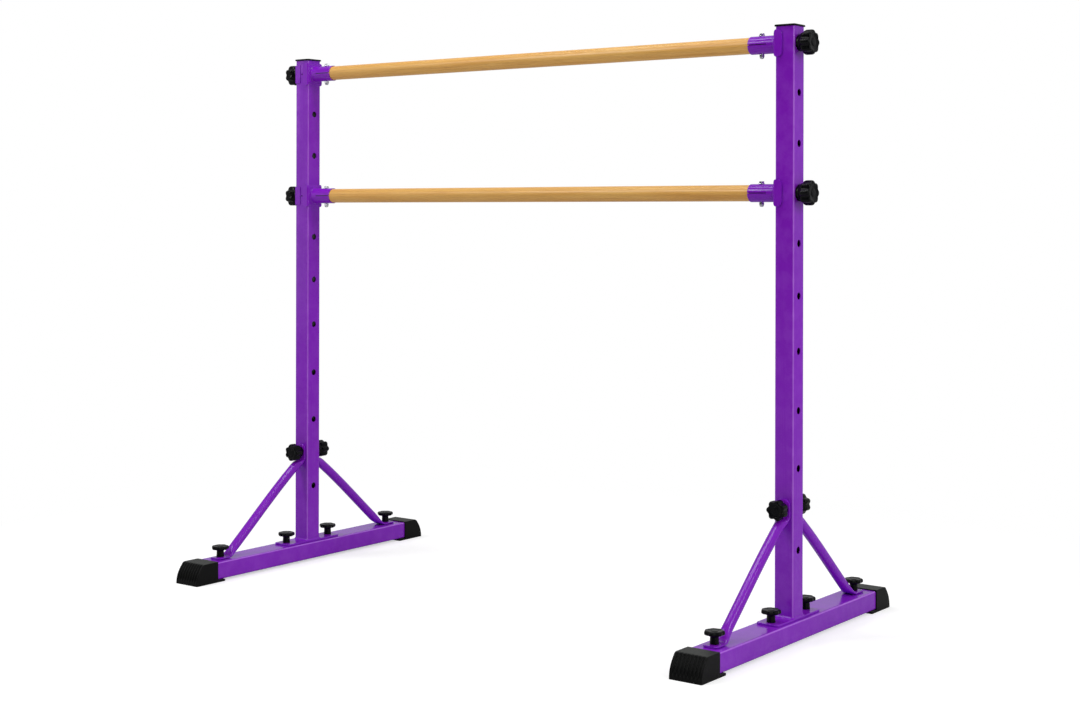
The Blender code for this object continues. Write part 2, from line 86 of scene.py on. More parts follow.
post_lo, post_hi = span("right_post")
STAND_X = (post_lo[0] + post_hi[0]) / 2
POST_WIDTH = post_hi[0] - post_lo[0]
POST_BOTTOM, POST_TOP = post_lo[2], post_hi[2]
POST_WALL, POST_CORNER = 2.0, 4.0
POST_HOLE_R, PINHOLE_R = 7.0, 1.9
UPPER_Z = (span("upper_rail")[0][2] + span("upper_rail")[1][2]) / 2
LOWER_Z = (span("lower_rail")[0][2] + span("lower_rail")[1][2]) / 2
POST_HOLES = (UPPER_Z, 1054.0, 956.0, LOWER_Z, 764.0, 663.0, 557.0, 443.0, 332.0, 175.0)
HALF = POST_WIDTH / 2
FACE = HALF + GAP
FLAT_OUT = FACE + 2.1  # centre of a brace's flat on the post

foot_lo, foot_hi = span("right_foot_tube")
FOOT_WIDTH = foot_hi[0] - foot_lo[0]
FOOT_HALF = foot_hi[1]
FOOT_BOTTOM, FOOT_TOP = foot_lo[2], foot_hi[2]
FOOT_HEIGHT = FOOT_TOP - FOOT_BOTTOM
FOOT_WALL, FOOT_CORNER = 2.0, 4.0

cap_lo, cap_hi = span("right_foot_cap_rear")
CAP_HALF_WIDTH = (cap_hi[0] - cap_lo[0]) / 2
CAP_TOP = cap_hi[2]
CAP_REACH = cap_hi[1] - FOOT_HALF - GAP
CAP_TONGUE = 22.0
CAP_GROOVES = 8

plate_lo, plate_hi = span("right_base_plate")
PLATE_WIDTH = plate_hi[0] - plate_lo[0]
PLATE_LENGTH = plate_hi[1] - plate_lo[1]
PLATE_BOTTOM = plate_lo[2]
WELD_LEG, WELD_HEIGHT = 2.9, 4.0
PLATE_TOP = plate_hi[2] - WELD_HEIGHT

BRACE_R = 10.3
FLAT_WIDTH = 15.5
STUD_R, STUD_HOLE_R = 4.0, 4.5
BRACE_TOP_Z = 256.0

RAIL_R = (span("upper_rail")[1][2] - span("upper_rail")[0][2]) / 2
RAIL_HALF = span("upper_rail")[1][0]
SLEEVE_IN, SLEEVE_OUT, SLEEVE_END = 16.35, 17.7, 84.0
SLIT_START, SLIT_HALF = 42.0, 0.9
CLAMP_A = STAND_X - span("right_upper_clamp_bolt")[0][0] - 6.4
CLAMP_R = 3.0
SADDLE_THICK, SADDLE_HALF, WEB_HALF, FLANGE_EDGE = 3.0, 26.5, 20.5, 5.5
LOCK_R, LOCK_TIP = 6.0, 30.0
KEEPER_THICK, KEEPER_HALF = 1.2, 21.0


# ---------------------------------------------------------------- shape helpers


def loft(rings, closed=False):
    n, m = len(rings[0]), len(rings)
    verts = [tuple(p) for ring in rings for p in ring]
    faces = []
    for i in range(m if closed else m - 1):
        a, b = i * n, ((i + 1) % m) * n
        for j in range(n):
            k = (j + 1) % n
            faces.append((a + j, a + k, b + k, b + j))
    if not closed:
        faces.append(tuple(range(n))[::-1])
        faces.append(tuple((m - 1) * n + j for j in range(n)))
    return verts, faces


def moved(shape, place):
    return [place(*p) for p in shape[0]], shape[1]


def spun(shape, turn):
    c, s = math.cos(turn), math.sin(turn)
    return moved(shape, lambda x, y, z: (x * c - y * s, x * s + y * c, z))


def joined(shapes):
    verts, faces = [], []
    for v, f in shapes:
        faces += [tuple(i + len(verts) for i in face) for face in f]
        verts += v
    return verts, faces


def rounded(w, h, r, steps=8):
    out = []
    for cx, cy, start in (
        (w / 2 - r, h / 2 - r, 0.0),
        (-w / 2 + r, h / 2 - r, 0.5),
        (-w / 2 + r, -h / 2 + r, 1.0),
        (w / 2 - r, -h / 2 + r, 1.5),
    ):
        for i in range(steps + 1):
            t = math.pi * (start + 0.5 * i / steps)
            out.append((cx + r * math.cos(t), cy + r * math.sin(t)))
    return out


def circle(r, n):
    return [
        (r * math.cos(2 * math.pi * i / n), r * math.sin(2 * math.pi * i / n))
        for i in range(n)
    ]


def lobed(r, depth, lobes, n):
    """A scalloped outline: full lobes with narrower valleys between them."""
    out = []
    for i in range(n):
        t = 2 * math.pi * i / n
        dip = 0.5 - 0.5 * math.cos(lobes * t)
        q = r - depth * dip**1.25
        out.append((q * math.cos(t), q * math.sin(t)))
    return out


def hexagon(af, n=72, soft=0.0):
    out = []
    for i in range(n):
        t = 2 * math.pi * i / n
        off = (t + math.pi / 6) % (math.pi / 3) - math.pi / 6
        q = af / 2 / math.cos(math.pi / 6 - abs(off))
        q = min(q, af / 2 / math.cos(math.pi / 6) * (1 - soft))
        out.append((q * math.cos(t), q * math.sin(t)))
    return out


def soften(points, reach=1.0, steps=4, keep=()):
    """A polyline with each corner turned into a short curve of at most this reach."""
    pts = [np.array(p, float) for p in points]
    out = [pts[0]]
    for i in range(1, len(pts) - 1):
        p = pts[i]
        if i in keep:
            out.append(p)
            continue
        to_a, to_b = pts[i - 1] - p, pts[i + 1] - p
        la = float(np.hypot(to_a[0], to_a[1])) or 1e-9
        lb = float(np.hypot(to_b[0], to_b[1])) or 1e-9
        a = p + to_a * min(reach / la, 0.45)
        b = p + to_b * min(reach / lb, 0.45)
        for s in range(steps + 1):
            t = s / steps
            out.append((1 - t) ** 2 * a + 2 * t * (1 - t) * p + t * t * b)
    out.append(pts[-1])
    return [tuple(float(c) for c in p) for p in out]


def along_z(profiles):
    return [[(x, y, z) for x, y in outline] for outline, z in profiles]


def box_shape(x0, x1, y0, y1, z0, z1):
    return loft(
        [[(x0, y0, z), (x1, y0, z), (x1, y1, z), (x0, y1, z)] for z in (z0, z1)]
    )


def rod(r, z0, z1, n=40):
    return loft(along_z([(circle(r, n), z0), (circle(r, n), z1)]))


def on_x(shape, y=0.0, z=0.0):
    return moved(shape, lambda p, q, s: (s, p + y, q + z))


def on_y(shape, x=0.0, z=0.0):
    return moved(shape, lambda p, q, s: (q + x, s, p + z))


def monotone(t, v, at):
    """Values between stations with no overshoot."""
    t, v = np.array(t, float), np.array(v, float)
    h = np.diff(t)
    d = np.diff(v) / h
    m = np.zeros(len(v))
    m[0], m[-1] = d[0], d[-1]
    for i in range(1, len(v) - 1):
        if d[i - 1] * d[i] > 0:
            w1, w2 = 2 * h[i] + h[i - 1], h[i] + 2 * h[i - 1]
            m[i] = (w1 + w2) / (w1 / d[i - 1] + w2 / d[i])
    out = []
    for x in at:
        i = min(max(int(np.searchsorted(t, x)) - 1, 0), len(h) - 1)
        s = (x - t[i]) / h[i]
        out.append(
            (2 * s**3 - 3 * s**2 + 1) * v[i]
            + (s**3 - 2 * s**2 + s) * h[i] * m[i]
            + (-2 * s**3 + 3 * s**2) * v[i + 1]
            + (s**3 - s**2) * h[i] * m[i + 1]
        )
    return np.array(out)


def mesh_object(name, shape):
    verts, faces = shape
    mesh = bpy.data.meshes.new(name)
    mesh.from_pydata([(x * MM, y * MM, z * MM) for x, y, z in verts], [], faces)
    work = bmesh.new()
    work.from_mesh(mesh)
    bmesh.ops.recalc_face_normals(work, faces=work.faces)
    work.to_mesh(mesh)
    work.free()
    obj = bpy.data.objects.new(name, mesh)
    bpy.context.scene.collection.objects.link(obj)
    return obj


def piece(node, shape, steps=(), smooth=38.0, weighted=True):
    """The shown piece for one CAD node, with Boolean and bevel steps applied.

    steps holds ("UNION" | "DIFFERENCE" | "INTERSECT", shape) and ("BEVEL", width mm, segments, degrees).
    """
    obj = mesh_object(node + ".look", shape)
    helpers = []
    for step in steps:
        if step[0] == "BEVEL":
            bevel = obj.modifiers.new("bevel", "BEVEL")
            bevel.width = step[1] * MM
            bevel.segments = step[2]
            bevel.limit_method = "ANGLE"
            bevel.angle_limit = math.radians(step[3])
            bevel.use_clamp_overlap = True
            bevel.miter_outer = "MITER_ARC"
            continue
        other = mesh_object("helper", step[1])
        other.hide_render = True
        helpers.append(other)
        cut = obj.modifiers.new("cut", "BOOLEAN")
        cut.operation = step[0]
        cut.solver = "EXACT"
        cut.object = other
    if obj.modifiers:
        graph = bpy.context.evaluated_depsgraph_get()
        made = bpy.data.meshes.new_from_object(obj.evaluated_get(graph))
        obj.modifiers.clear()
        obj.data = made
    for other in helpers:
        bpy.data.objects.remove(other, do_unlink=True)
    obj.data.shade_smooth()
    obj.data.set_sharp_from_angle(angle=math.radians(smooth))
    if weighted:
        even = obj.modifiers.new("even", "WEIGHTED_NORMAL")
        even.keep_sharp = True
        even.weight = 60
        graph = bpy.context.evaluated_depsgraph_get()
        made = bpy.data.meshes.new_from_object(obj.evaluated_get(graph))
        obj.modifiers.clear()
        obj.data = made
    obj.data.materials.clear()
    obj.data.materials.append(MATERIAL[SLOT[node]])
    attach(obj, BODY[node])
    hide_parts(node)
    return obj


# ---------------------------------------------------------------- materials


class Nodes:
    """Short calls for one node tree."""

    def __init__(self, tree):
        self.tree = tree
        self.tree.nodes.clear()

    def add(self, kind, **values):
        node = self.tree.nodes.new(kind)
        for key, value in values.items():
            setattr(node, key, value)
        return node

    def link(self, a, b):
        self.tree.links.new(a, b)

    def put(self, value, socket):
        if isinstance(value, bpy.types.NodeSocket):
            self.link(value, socket)
        else:
            socket.default_value = value

    def place(self, scale=(1, 1, 1), turn=(0, 0, 0)):
        source = self.add("ShaderNodeTexCoord")
        mapping = self.add("ShaderNodeMapping")
        mapping.inputs["Scale"].default_value = scale
        mapping.inputs["Rotation"].default_value = turn
        self.link(source.outputs["Object"], mapping.inputs["Vector"])
        return mapping.outputs["Vector"]

    def noise(self, vector, scale, detail=3.0, rough=0.5, warp=0.0):
        node = self.add("ShaderNodeTexNoise")
        self.put(vector, node.inputs["Vector"])
        node.inputs["Scale"].default_value = scale
        node.inputs["Detail"].default_value = detail
        node.inputs["Roughness"].default_value = rough
        node.inputs["Distortion"].default_value = warp
        return node.outputs["Fac"]

    def math(self, how, a, b=0.0, clamp=False):
        node = self.add("ShaderNodeMath", operation=how, use_clamp=clamp)
        self.put(a, node.inputs[0])
        self.put(b, node.inputs[1])
        return node.outputs[0]

    def range(self, value, a, b, c, d):
        node = self.add("ShaderNodeMapRange")
        self.put(value, node.inputs["Value"])
        for key, number in (
            ("From Min", a),
            ("From Max", b),
            ("To Min", c),
            ("To Max", d),
        ):
            node.inputs[key].default_value = number
        return node.outputs["Result"]

    def mix(self, factor, a, b, how="MIX"):
        node = self.add("ShaderNodeMix", data_type="RGBA", blend_type=how)
        self.put(factor, node.inputs[0])
        for value, socket in ((a, node.inputs[6]), (b, node.inputs[7])):
            if isinstance(value, bpy.types.NodeSocket):
                self.link(value, socket)
            else:
                socket.default_value = (*value, 1.0)
        return node.outputs[2]

    def ramp(self, value, stops):
        node = self.add("ShaderNodeValToRGB")
        self.put(value, node.inputs["Fac"])
        elements = node.color_ramp.elements
        while len(elements) < len(stops):
            elements.new(0.5)
        for element, (at, color) in zip(elements, stops):
            element.position = at
            element.color = (*color, 1.0)
        return node.outputs["Color"]

    def bump(self, height, strength, distance, normal=None):
        node = self.add("ShaderNodeBump")
        node.inputs["Strength"].default_value = strength
        node.inputs["Distance"].default_value = distance
        self.link(height, node.inputs["Height"])
        if normal is not None:
            self.link(normal, node.inputs["Normal"])
        return node.outputs["Normal"]

    def finish(self, color, roughness, normal=None, **plain):
        shader = self.add("ShaderNodeBsdfPrincipled")
        self.put(color, shader.inputs["Base Color"])
        self.put(roughness, shader.inputs["Roughness"])
        if normal is not None:
            self.link(normal, shader.inputs["Normal"])
        for key, value in plain.items():
            shader.inputs[key.replace("_", " ")].default_value = value
        out = self.add("ShaderNodeOutputMaterial")
        self.link(shader.outputs["BSDF"], out.inputs["Surface"])


def new_material(name, preview):
    made = bpy.data.materials.new(name)
    made.use_nodes = True
    made.diffuse_color = (*preview, 1.0)
    return made, Nodes(made.node_tree)


def edges(n, low=0.52, high=0.62):
    """Near 1 along raised edges, where a finish is thin and rubbed, and where the purple coat also gets a painted
    highlight.
    """
    geometry = n.add("ShaderNodeNewGeometry")
    return n.range(geometry.outputs["Pointiness"], low, high, 0.0, 1.0)


def purple_coat():
    made, n = new_material("purple_powder_coat", (0.2, 0.02, 0.45))
    here = n.place()
    cloud = n.noise(here, 5.5, 3.0, 0.5)
    fleck = n.noise(here, 900.0, 2.0, 0.6)
    peel = n.noise(here, 260.0, 2.0, 0.45)
    rub = n.noise(here, 34.0, 5.0, 0.65)
    color = n.mix(
        n.range(cloud, 0.3, 0.7, 0.0, 1.0), (0.222, 0.0075, 0.520), (0.252, 0.0105, 0.590)
    )
    color = n.mix(n.range(fleck, 0.35, 0.75, 0.0, 0.16), color, (0.36, 0.03, 0.74))
    color = n.mix(n.range(fleck, 0.45, 0.15, 0.0, 0.14), color, (0.12, 0.004, 0.33))
    # lighter purple along raised edges: partly rubbed coat, partly a painted edge highlight
    worn_and_highlit = n.math("MULTIPLY", edges(n), n.range(rub, 0.42, 0.62, 0.12, 0.5))
    color = n.mix(worn_and_highlit, color, (0.47, 0.12, 0.80))
    spot = n.add("ShaderNodeSeparateXYZ")
    n.link(here, spot.inputs["Vector"])
    x, y, z = (spot.outputs[axis] for axis in "XYZ")
    across = n.math("ABSOLUTE", n.math("SUBTRACT", n.math("ABSOLUTE", x), STAND_X * MM))
    raised = n.math("GREATER_THAN", z, 0.050)
    # painted highlight: a lighter band along the post's rounded vertical corners
    post_corner_highlight = n.math("MINIMUM", across, n.math("ABSOLUTE", y))
    post_corner_highlight = n.range(post_corner_highlight, (HALF - 2.8) * MM, (HALF - 1.7) * MM, 0.0, 1.0)
    reach = n.math("MAXIMUM", across, n.math("ABSOLUTE", y))
    post_corner_highlight = n.math("MULTIPLY", post_corner_highlight, raised)
    post_corner_highlight = n.math("MULTIPLY", post_corner_highlight, n.math("LESS_THAN", reach, (HALF + 0.2) * MM))
    # painted shade: the inside of the post tube, seen through its holes, goes near-black
    inside_shade = n.math("MULTIPLY", raised, n.math("LESS_THAN", reach, (HALF - 1.5) * MM))
    # painted highlight: a lighter band along the foot tube's top edges
    foot_edge_highlight = n.math(
        "MINIMUM",
        n.math("SUBTRACT", across, FOOT_WIDTH / 2 * MM),
        n.math("SUBTRACT", z, FOOT_TOP * MM),
    )
    foot_edge_highlight = n.range(foot_edge_highlight, -2.8 * MM, -1.7 * MM, 0.0, 1.0)
    foot_edge_highlight = n.math("MULTIPLY", foot_edge_highlight, n.math("SUBTRACT", 1.0, raised))
    # lighter purple on these corners and edges is a painted highlight, not a colour of the coat
    rim = n.math("MULTIPLY", n.math("MAXIMUM", post_corner_highlight, foot_edge_highlight), n.range(rub, 0.3, 0.6, 0.48, 0.66))
    color = n.mix(rim, color, (0.56, 0.21, 0.86))
    # painted shade inside the post
    color = n.mix(inside_shade, color, (0.010, 0.002, 0.022))
    rough = n.range(rub, 0.3, 0.7, 0.13, 0.23)
    rough = n.math("ADD", rough, n.range(cloud, 0.35, 0.7, -0.01, 0.03))
    normal = n.bump(peel, 0.10, 0.00025)
    normal = n.bump(fleck, 0.05, 0.0001, normal)
    n.finish(color, rough, normal, Specular_IOR_Level=0.28)
    return made


def clear_wood():
    made, n = new_material("varnished_wood", (0.6, 0.36, 0.14))
    slow = n.place((1.4, 26.0, 26.0))
    fibre = n.place((9.0, 420.0, 420.0))
    fine = n.place((26.0, 1500.0, 1500.0))
    wide = n.place((2.2, 3.0, 3.0))
    bands = n.noise(slow, 1.6, 3.0, 0.55, 0.6)
    streak = n.noise(fibre, 1.0, 4.0, 0.62, 0.25)
    pores = n.noise(fine, 1.0, 3.0, 0.6)
    patch = n.noise(wide, 1.3, 2.0, 0.5)
    color = n.ramp(
        bands,
        (
            (0.22, (0.70, 0.325, 0.058)),
            (0.42, (0.84, 0.435, 0.094)),
            (0.58, (0.90, 0.510, 0.130)),
            (0.80, (0.76, 0.375, 0.075)),
        ),
    )
    color = n.mix(n.range(streak, 0.48, 0.75, 0.0, 0.42), color, (0.50, 0.215, 0.042))
    color = n.mix(n.range(streak, 0.45, 0.22, 0.0, 0.35), color, (0.95, 0.64, 0.25))
    color = n.mix(n.range(pores, 0.56, 0.78, 0.0, 0.50), color, (0.36, 0.135, 0.026))
    color = n.mix(n.range(patch, 0.35, 0.7, 0.0, 0.22), color, (0.76, 0.345, 0.060))
    along = n.add("ShaderNodeSeparateXYZ")
    n.link(n.place(), along.inputs["Vector"])
    # painted shade: the rail goes near-black where it runs inside the sleeves, so the slits read dark
    sleeve_shade = n.range(
        n.math("ABSOLUTE", along.outputs["X"]),
        (STAND_X - SLEEVE_END + 1.0) * MM,
        (STAND_X - SLEEVE_END + 4.0) * MM,
        0.0,
        1.0,
    )
    color = n.mix(sleeve_shade, color, (0.012, 0.004, 0.010))
    rough = n.range(streak, 0.3, 0.7, 0.30, 0.44)
    normal = n.bump(streak, 0.10, 0.0002)
    normal = n.bump(pores, 0.12, 0.00015, normal)
    n.finish(color, rough, normal, Specular_IOR_Level=0.40, Coat_Weight=0.08, Coat_Roughness=0.20)
    return made


def black_plastic():
    made, n = new_material("black_knob_plastic", (0.01, 0.01, 0.012))
    here = n.place()
    grain = n.noise(here, 1400.0, 2.0, 0.6)
    cloud = n.noise(here, 60.0, 4.0, 0.6)
    dust = n.noise(here, 320.0, 5.0, 0.7)
    color = n.mix(
        n.range(cloud, 0.3, 0.7, 0.0, 1.0), (0.0007, 0.0008, 0.0012), (0.0018, 0.0021, 0.0029)
    )
    color = n.mix(n.range(dust, 0.60, 0.80, 0.0, 0.10), color, (0.014, 0.016, 0.021))
    color = n.mix(n.math("MULTIPLY", edges(n), 0.12), color, (0.016, 0.018, 0.024))
    rough = n.range(cloud, 0.3, 0.7, 0.24, 0.36)
    normal = n.bump(grain, 0.16, 0.00015)
    n.finish(color, rough, normal, Specular_IOR_Level=0.13)
    return made


def black_rubber():
    made, n = new_material("black_rubber", (0.014, 0.015, 0.014))
    here = n.place()
    grain = n.noise(here, 700.0, 3.0, 0.7)
    pits = n.noise(here, 1900.0, 2.0, 0.6)
    cloud = n.noise(here, 26.0, 4.0, 0.6)
    color = n.mix(
        n.range(cloud, 0.3, 0.7, 0.0, 1.0), (0.0009, 0.0010, 0.0010), (0.0022, 0.0025, 0.0023)
    )
    color = n.mix(n.range(grain, 0.52, 0.78, 0.0, 0.25), color, (0.009, 0.010, 0.0095))
    color = n.mix(n.math("MULTIPLY", edges(n), 0.10), color, (0.03, 0.032, 0.03))
    # painted light: the rubber turns lighter grey on faces that point up
    facing = n.add("ShaderNodeSeparateXYZ")
    n.link(n.add("ShaderNodeNewGeometry").outputs["Normal"], facing.inputs["Vector"])
    painted_top_light = n.range(facing.outputs["Z"], 0.75, 0.98, 0.0, 0.45)
    color = n.mix(painted_top_light, color, (0.070, 0.075, 0.070))
    rough = n.range(grain, 0.3, 0.7, 0.42, 0.58)
    normal = n.bump(grain, 0.30, 0.0003)
    normal = n.bump(pits, 0.18, 0.00015, normal)
    n.finish(color, rough, normal, Specular_IOR_Level=0.14)
    return made


def zinc_steel():
    made, n = new_material("zinc_plated_steel", (0.62, 0.62, 0.66))
    here = n.place()
    turned = n.noise(n.place((900.0, 900.0, 60.0)), 1.0, 3.0, 0.6)
    cloud = n.noise(here, 120.0, 4.0, 0.6)
    color = n.mix(
        n.range(cloud, 0.3, 0.7, 0.0, 1.0), (0.50, 0.51, 0.56), (0.76, 0.77, 0.80)
    )
    color = n.mix(n.math("MULTIPLY", edges(n), 0.35), color, (0.92, 0.92, 0.93))
    rough = n.range(turned, 0.3, 0.7, 0.16, 0.30)
    normal = n.bump(turned, 0.08, 0.0001)
    n.finish(color, rough, normal, Metallic=1.0)
    return made


MATERIAL = {
    "purple_coat": purple_coat(),
    "clear_wood": clear_wood(),
    "black_plastic": black_plastic(),
    "black_rubber": black_rubber(),
    "zinc_steel": zinc_steel(),
}


# ---------------------------------------------------------------- shapes in a stand's frame


def post_shape():
    out = rounded(POST_WIDTH, POST_WIDTH, POST_CORNER)
    ins = rounded(
        POST_WIDTH - 2 * POST_WALL, POST_WIDTH - 2 * POST_WALL, POST_CORNER - POST_WALL
    )
    return loft(
        along_z(
            [(out, POST_BOTTOM), (out, POST_TOP), (ins, POST_TOP), (ins, POST_BOTTOM)]
        ),
        closed=True,
    )


def post_cutters(side):
    holes = [on_x(rod(POST_HOLE_R, -30, 30, 36), z=h) for h in POST_HOLES]
    holes.append(on_y(rod(STUD_HOLE_R, -30, 30, 32), z=BRACE_TOP_Z))
    if side < 0:
        for h in (UPPER_Z, LOWER_Z):
            holes.append(on_y(rod(PINHOLE_R, -30, -HALF + POST_WALL + 2, 24), z=h))
    return joined(holes)


def post_cap_shape():
    """A moulded square plug with a thin softened rim."""
    side = span("right_post_cap")[1][0] - span("right_post_cap")[0][0]
    z = POST_TOP + GAP
    steps = [
        (31.2, 1.4, z + 0.4),
        (31.2, 1.4, z - 13.0),
        (35.4, 1.6, z - 13.0),
        (36.4, 1.8, z - 12.4),
        (36.4, 1.8, z),
        (side - 0.8, 4.6, z),
        (side - 0.2, 4.9, z + 0.3),
        (side, 5.0, z + 0.8),
        (side, 5.0, z + 2.0),
        (side - 0.35, 4.9, z + 2.7),
        (side - 1.3, 4.5, z + 3.25),
        (side - 2.8, 4.0, z + 3.5),
        (side - 8.0, 3.4, z + 3.6),
    ]
    return loft(along_z([(rounded(w, w, r, 6), h) for w, r, h in steps]))


def foot_shape():
    out = rounded(FOOT_WIDTH, FOOT_HEIGHT, FOOT_CORNER)
    ins = rounded(
        FOOT_WIDTH - 2 * FOOT_WALL, FOOT_HEIGHT - 2 * FOOT_WALL, FOOT_CORNER - FOOT_WALL
    )
    mid = FOOT_BOTTOM + FOOT_HEIGHT / 2
    rings = [
        [(x, end, z + mid) for x, z in outline]
        for outline, end in (
            (out, -FOOT_HALF),
            (out, FOOT_HALF),
            (ins, FOOT_HALF),
            (ins, -FOOT_HALF),
        )
    ]
    return loft(rings, closed=True)


def at_y(shape, at):
    return moved(shape, lambda a, y, z: (a, y + at, z))


def foot_cutters(side):
    found = []
    for kind in ("base_knob", "brace_foot_knob"):
        for end in ("front", "rear"):
            lo, hi = span(f"{side}_{kind}_{end}")
            found.append(
                at_y(rod(STUD_HOLE_R, FOOT_TOP - 8, FOOT_TOP + 8, 32), (lo[1] + hi[1]) / 2)
            )
    return joined(found)


def cap_profile():
    """The cap's side view as points (b, z) with outward normals, b outward from the tube's end."""
    plain = [
        (0.0, CAP_TOP),
        (37.0, CAP_TOP),
        (41.0, 44.8),
        (44.5, 42.2),
        (48.5, 37.4),
        (54.5, 28.8),
        (59.0, 19.5),
        (61.4, 10.0),
        (CAP_REACH, 4.0),
        (CAP_REACH, 0.0),
    ]
    t = [0.0]
    for p, q in zip(plain, plain[1:]):
        t.append(t[-1] + math.hypot(q[0] - p[0], q[1] - p[1]))
    at = np.concatenate(
        [np.linspace(0, t[1], 5)[:-1], np.linspace(t[1], t[4], 16)[:-1], np.linspace(t[4], t[-1], 22)]
    )
    b = monotone(t, [p[0] for p in plain], at)
    z = monotone(t, [p[1] for p in plain], at)
    skin = []
    for i in range(len(at)):
        j, k = max(i - 1, 0), min(i + 1, len(at) - 1)
        db, dz = b[k] - b[j], z[k] - z[j]
        size = math.hypot(db, dz) or 1.0
        skin.append((b[i], z[i], -dz / size, db / size, at[i]))
    return skin, t


def cap_shape():
    skin, t = cap_profile()
    pitch = 2 * (CAP_HALF_WIDTH - 1.2) / (CAP_GROOVES + 0.5)
    begin, full, fade, stop = t[1] + 2.0, t[3] + 1.5, t[7] - 4.0, t[8] - 0.5
    edge = 1.8

    def depth(x, along):
        if along <= begin or along >= stop:
            return 0.0
        reach = min(1.0, (along - begin) / (full - begin))
        if along > fade:
            reach = min(reach, (stop - along) / (stop - fade))
        reach = reach * reach * (3 - 2 * reach)
        u = x / pitch + CAP_GROOVES / 2
        if not 0 <= u <= CAP_GROOVES:
            return 0.0
        swing = 0.5 - 0.5 * math.cos(2 * math.pi * u)
        return 2.5 * reach * swing**0.9

    xs = [-CAP_HALF_WIDTH + edge * (1 - math.cos(s)) for s in np.linspace(0, math.pi / 2, 6)]
    inner = CAP_HALF_WIDTH - edge
    xs += list(np.linspace(-inner, inner, 12 * CAP_GROOVES + 1))[1:-1]
    xs += [-x for x in xs[:6]][::-1]
    rings = []
    for x in xs:
        off = abs(x) - inner
        draw = edge - math.sqrt(max(edge**2 - max(off, 0.0) ** 2, 0.0)) if off > 0 else 0.0
        ring = []
        for b, z, nb, nz, along in skin:
            cut = draw + depth(x, along)
            bb, zz = b - nb * cut, z - nz * cut
            ring.append((x, max(bb, 0.0), max(zz, 0.0)))
        ring[0] = (x, 0.0, CAP_TOP - draw)
        ring += [
            (x, -CAP_TONGUE + 0.9 + draw, 0.0),
            (x, -CAP_TONGUE + draw, 0.9),
            (x, -CAP_TONGUE + draw, 3.7),
            (x, -CAP_TONGUE + 0.9 + draw, 4.6 - 0.3 * draw),
            (x, 0.0, 4.6 - 0.3 * draw),
        ]
        rings.append(ring)
    return loft(rings)


def cap_plug():
    w = FOOT_WIDTH - 2 * FOOT_WALL - 1.0
    h = FOOT_HEIGHT - 2 * FOOT_WALL - 1.0
    mid = FOOT_BOTTOM + FOOT_HEIGHT / 2
    outline = rounded(w, h, 2.0, 4)
    return loft([[(x, b, z + mid) for x, z in outline] for b in (-26.0, 1.0)])


def plate_shape():
    steps = [
        (PLATE_WIDTH - 0.6, PLATE_LENGTH - 0.6, 5.7, PLATE_BOTTOM),
        (PLATE_WIDTH, PLATE_LENGTH, 6.0, PLATE_BOTTOM + 0.4),
        (PLATE_WIDTH, PLATE_LENGTH, 6.0, PLATE_TOP - 1.1),
        (PLATE_WIDTH - 0.3, PLATE_LENGTH - 0.3, 5.85, PLATE_TOP - 0.55),
        (PLATE_WIDTH - 1.0, PLATE_LENGTH - 1.0, 5.5, PLATE_TOP - 0.16),
        (PLATE_WIDTH - 2.2, PLATE_LENGTH - 2.2, 4.9, PLATE_TOP),
    ]
    return loft(along_z([(rounded(w, h, r, 10), z) for w, h, r, z in steps]))


def bead(seed, t, size):
    """The small unevenness of a weld laid by hand, round a joint."""
    p = Vector((7.0 * math.cos(t), 7.0 * math.sin(t), seed))
    return size * (
        0.6 * noise.noise(p * 0.55) + 0.4 * math.sin(58 * t + 3 * noise.noise(p * 0.3))
    )


def weld_shape(seed):
    """The fillet round the post's foot, a concave bead with slight ripples."""
    profile = [
        (WELD_LEG + 0.1, -1.0),
        (WELD_LEG + 0.1, 0.02),
        (WELD_LEG * 0.72, 0.55),
        (WELD_LEG * 0.45, 1.3),
        (WELD_LEG * 0.25, 2.25),
        (WELD_LEG * 0.10, 3.2),
        (0.04, WELD_HEIGHT - 0.05),
    ]
    rings = []
    for k, (out, up) in enumerate(profile):
        ring = []
        outline = rounded(2 * (FACE + out), 2 * (FACE + out), POST_CORNER + out, 14)
        dense = []
        for i, p in enumerate(outline):
            q = outline[(i + 1) % len(outline)]
            parts = max(1, int(math.hypot(q[0] - p[0], q[1] - p[1]) / 1.3)) if k == 0 else weld_shape.parts[i]
            if k == 0:
                weld_shape.parts = getattr(weld_shape, "parts", {})
                weld_shape.parts[i] = parts
            dense += [
                (p[0] + (q[0] - p[0]) * s / parts, p[1] + (q[1] - p[1]) * s / parts)
                for s in range(parts)
            ]
        for x, y in dense:
            t = math.atan2(y, x)
            ripple = bead(seed, t, 0.16) if 2 <= k <= 5 else 0.0
            size = math.hypot(x, y)
            ring.append((x + ripple * x / size, y + ripple * y / size, PLATE_TOP + up))
        rings.append(ring)
    inner = []
    for x, y in [(p[0], p[1]) for p in rings[-1]]:
        inner.append((x * 0.997, y * 0.997))
    top = [(x, y, PLATE_TOP + WELD_HEIGHT - 0.05) for x, y in inner]
    low = [(x, y, PLATE_TOP - 1.0) for x, y in inner]
    return loft([low] + rings + [top], closed=True)


# centre of each section down a front brace as (distance out from the post, height), half width and half thickness
BRACE_PATH = (
    (FLAT_OUT, 274.2, 5.5, 1.7),
    (FLAT_OUT, 271.0, 11.0, 2.1),
    (FLAT_OUT, 265.0, 14.8, 2.1),
    (FLAT_OUT, 242.8, FLAT_WIDTH, 2.1),
    (FLAT_OUT + 1.65, 236.2, 14.4, 3.3),
    (FLAT_OUT + 6.75, 230.4, 12.4, 6.6),
    (FLAT_OUT + 14.15, 226.2, 10.8, 9.5),
    (FLAT_OUT + 23.05, 219.9, BRACE_R, BRACE_R),
    (226.0, 70.3, BRACE_R, BRACE_R),
    (235.0, 62.7, 10.8, 9.3),
    (244.0, 55.2, 12.6, 6.3),
    (252.5, 48.9, 14.6, 3.4),
    (260.0, 45.5, FLAT_WIDTH, 2.1),
    (290.0, 45.5, FLAT_WIDTH, 2.1),
    (294.5, 45.5, 11.0, 1.9),
)


